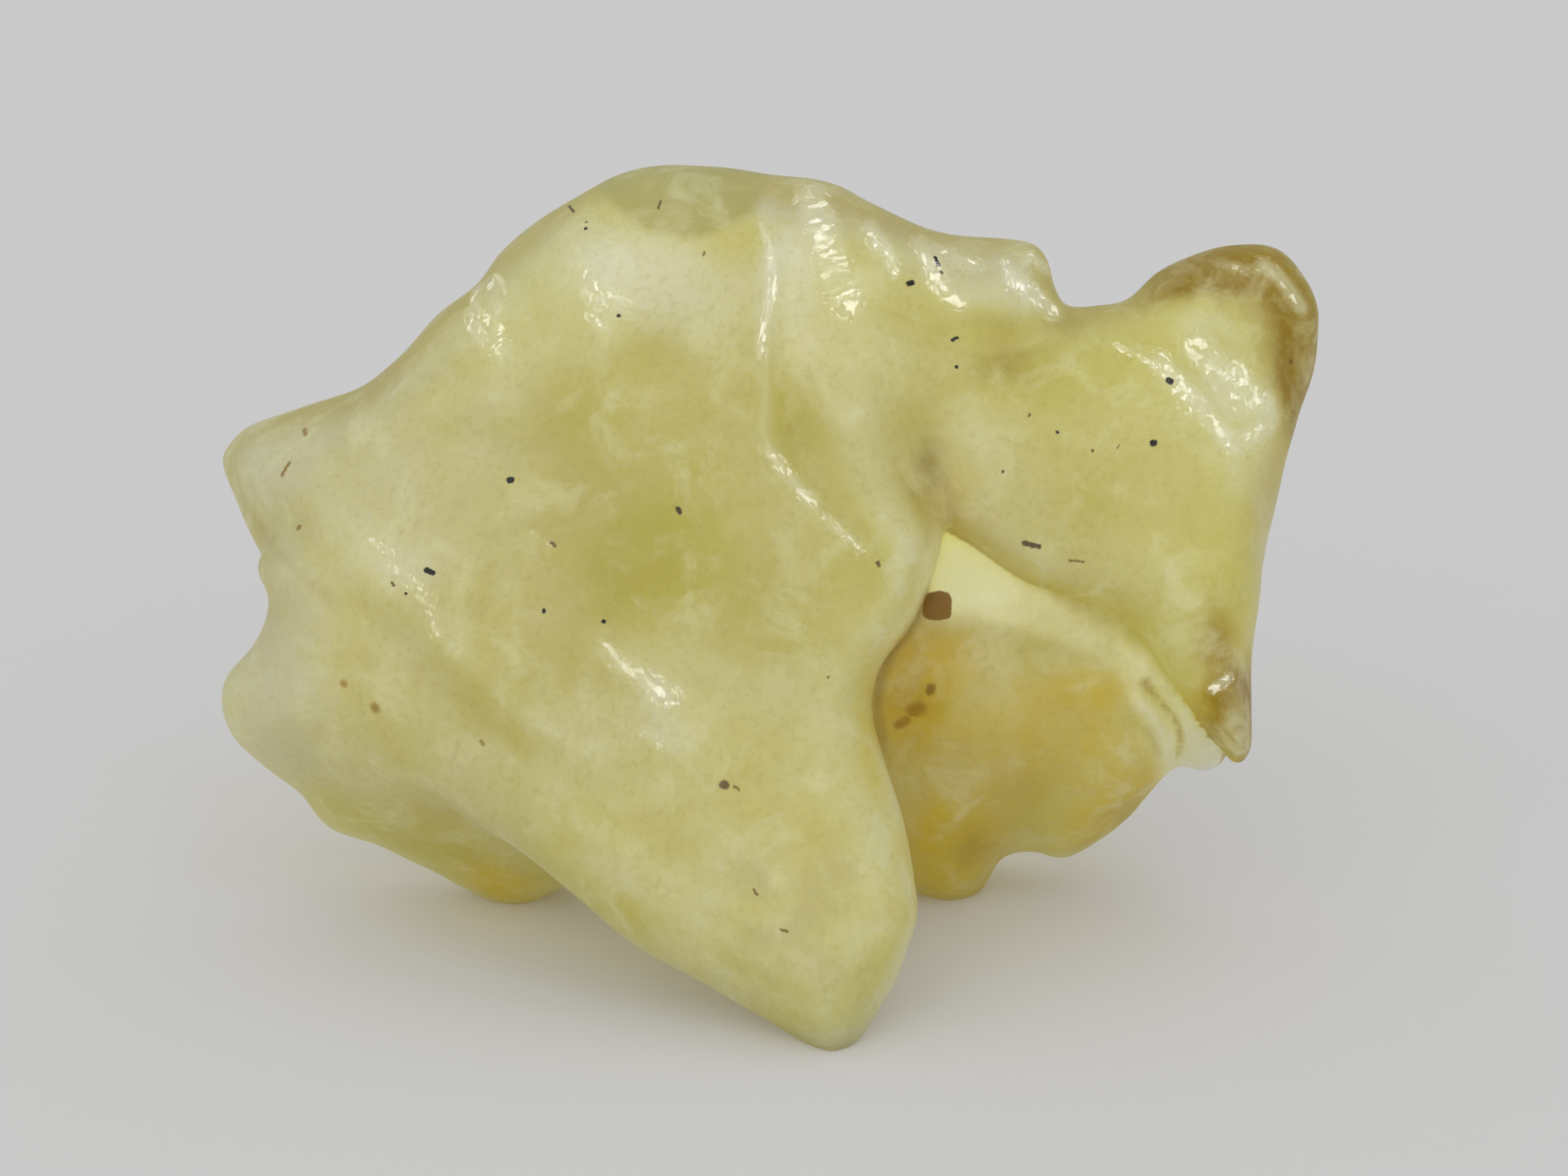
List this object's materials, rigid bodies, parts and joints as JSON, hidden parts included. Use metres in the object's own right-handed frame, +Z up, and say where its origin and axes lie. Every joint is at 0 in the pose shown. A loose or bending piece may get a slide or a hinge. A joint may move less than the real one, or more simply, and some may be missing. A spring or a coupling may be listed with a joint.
{
  "type": "desert glass specimen",
  "caption": "Natural lump of pale yellow-green desert glass, smooth and wind-worn, standing on a leg in front and two feet behind.",
  "frame": {"origin": "centre of the lump's bounding box, at the level of the surface it stands on", "axes": "+X to the right seen from the front face, along the longest extent; +Y away from the front face, into the back; +Z up"},
  "size_m": [0.0406, 0.0212, 0.0281],
  "materials": {
    "glass": "worn, softly glossy, translucent"
  },
  "bodies": {
    "root": {"desert_glass": "glass"}
  },
  "joints": []
}
